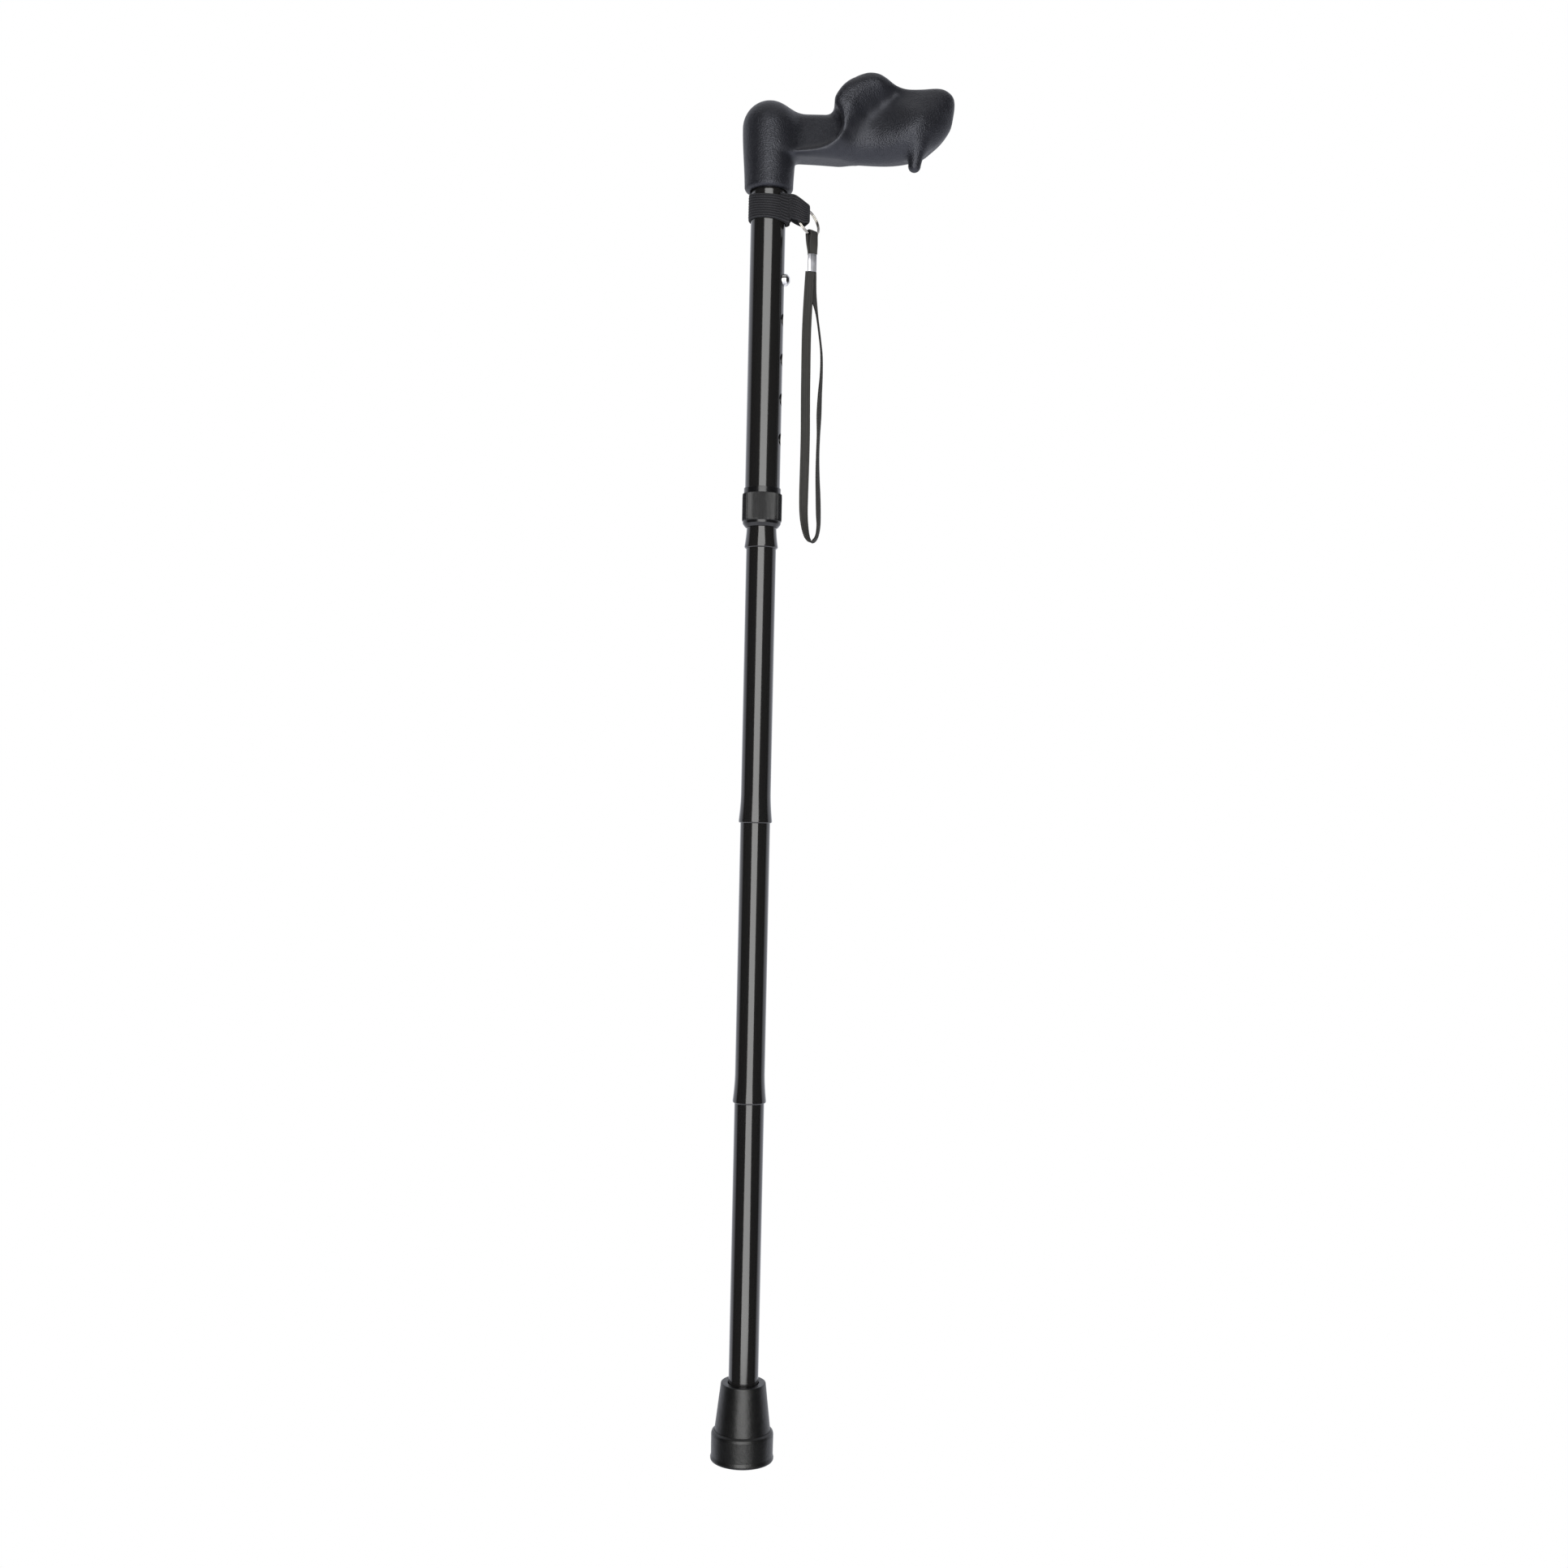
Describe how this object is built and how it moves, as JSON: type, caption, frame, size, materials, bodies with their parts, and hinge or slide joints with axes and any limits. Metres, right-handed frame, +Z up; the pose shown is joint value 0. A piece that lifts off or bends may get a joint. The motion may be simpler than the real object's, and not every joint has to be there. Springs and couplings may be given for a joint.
{
  "type": "folding walking cane",
  "caption": "Folding, height-adjustable walking cane with an anatomical palm grip, knurled lock collar, rubber ferrule and wrist strap on a split ring.",
  "frame": {"origin": "centre of the ferrule's sole, where the cane meets the ground", "axes": "+Z up along the tubes, +X from the tubes towards the palm rest, -Y the side with the finger stop"},
  "size_m": [0.1367, 0.0441, 0.8861],
  "materials": {
    "grip_plastic": "matte black with a fine leather grain",
    "black_tube": "gloss black anodised aluminium",
    "collar_plastic": "satin black nylon",
    "white_nylon": "natural nylon",
    "soft_seal": "soft dark grey",
    "spring_steel": "bright spring steel",
    "button_steel": "polished",
    "bare_aluminium": "turned",
    "elastic_cord": "braided cover",
    "black_rubber": "matte black",
    "black_webbing": "ribbed woven webbing",
    "ring_steel": "nickel plated wire",
    "crimp_steel": "bright bent sheet",
    "black_braid": "flat braided cord"
  },
  "bodies": {
    "grip_and_upper_tube": {"handle": "grip_plastic", "handle_plug": "collar_plastic", "upper_tube": "black_tube", "collar_sleeve": "collar_plastic"},
    "seal": {"compression_ring": "soft_seal"},
    "collar": {"lock_collar": "collar_plastic"},
    "extension": {"extension_tube": "black_tube", "extension_bush": "white_nylon", "cord_anchor_top": "collar_plastic", "snap_spring": "spring_steel", "elastic_1": "elastic_cord"},
    "button": {"snap_button": "button_steel"},
    "section_2": {"section_2_tube": "black_tube", "spigot_2": "bare_aluminium", "elastic_2": "elastic_cord"},
    "section_3": {"section_3_tube": "black_tube", "spigot_3": "bare_aluminium", "elastic_3": "elastic_cord"},
    "section_4": {"section_4_tube": "black_tube", "spigot_4": "bare_aluminium", "cord_anchor_bottom": "collar_plastic", "ferrule_washer": "spring_steel", "ferrule": "black_rubber"},
    "strap_band": {"webbing_band": "black_webbing", "webbing_loop": "black_webbing"},
    "ring": {"split_ring": "ring_steel"},
    "strap": {"strap_head": "black_braid", "strap_crimp": "crimp_steel", "wrist_strap": "black_braid"}
  },
  "joints": [
    {"name": "seal_release", "type": "slide", "parent": "grip_and_upper_tube", "child": "seal", "axis": [0, 0, -1], "range_m": [0, 0.00075]},
    {"name": "collar_turn", "type": "hinge", "parent": "seal", "child": "collar", "pos_m": [0, 0, 0.605], "axis": [0, 0, 1], "range_deg": [0, 180]},
    {"name": "height_adjust", "type": "slide", "parent": "grip_and_upper_tube", "child": "extension", "axis": [0, 0, -1], "range_m": [0, 0.1016], "deforming": ["snap_button"]},
    {"name": "button_press", "type": "slide", "parent": "extension", "child": "button", "axis": [-0.9848, 0.1736, 0], "range_m": [0, 0.005], "stiffness_N_per_m": 1500, "springref_m": -0.002, "deforming": ["snap_spring"]},
    {"name": "pull_1", "type": "slide", "parent": "extension", "child": "section_2", "axis": [0, 0, -1], "range_m": [0, 0.055], "stiffness_N_per_m": 400, "springref_m": -0.07, "deforming": ["elastic_1"]},
    {"name": "pull_2", "type": "slide", "parent": "section_2", "child": "section_3", "axis": [0, 0, -1], "range_m": [0, 0.055], "stiffness_N_per_m": 400, "springref_m": -0.07, "deforming": ["elastic_2"]},
    {"name": "pull_3", "type": "slide", "parent": "section_3", "child": "section_4", "axis": [0, 0, -1], "range_m": [0, 0.055], "stiffness_N_per_m": 400, "springref_m": -0.07, "deforming": ["elastic_3"]},
    {"name": "band_swivel", "type": "hinge", "parent": "grip_and_upper_tube", "child": "strap_band", "pos_m": [0, 0, 0.797], "axis": [0, 0, 1], "continuous": true},
    {"name": "ring_swing", "type": "hinge", "parent": "strap_band", "child": "ring", "pos_m": [0.0194, -0.0042, 0.7906], "axis": [0, 0, 1], "range_deg": [-60, 40], "deforming": ["webbing_loop"]},
    {"name": "strap_swing", "type": "hinge", "parent": "ring", "child": "strap", "pos_m": [0.028, -0.0006, 0.7817], "axis": [0.6561, 0.7547, 0], "range_deg": [-60, 2]}
  ],
  "couplings": [
    {"joint": "seal_release", "follows": "collar_turn", "m_per_rad": 0.00023873}
  ]
}
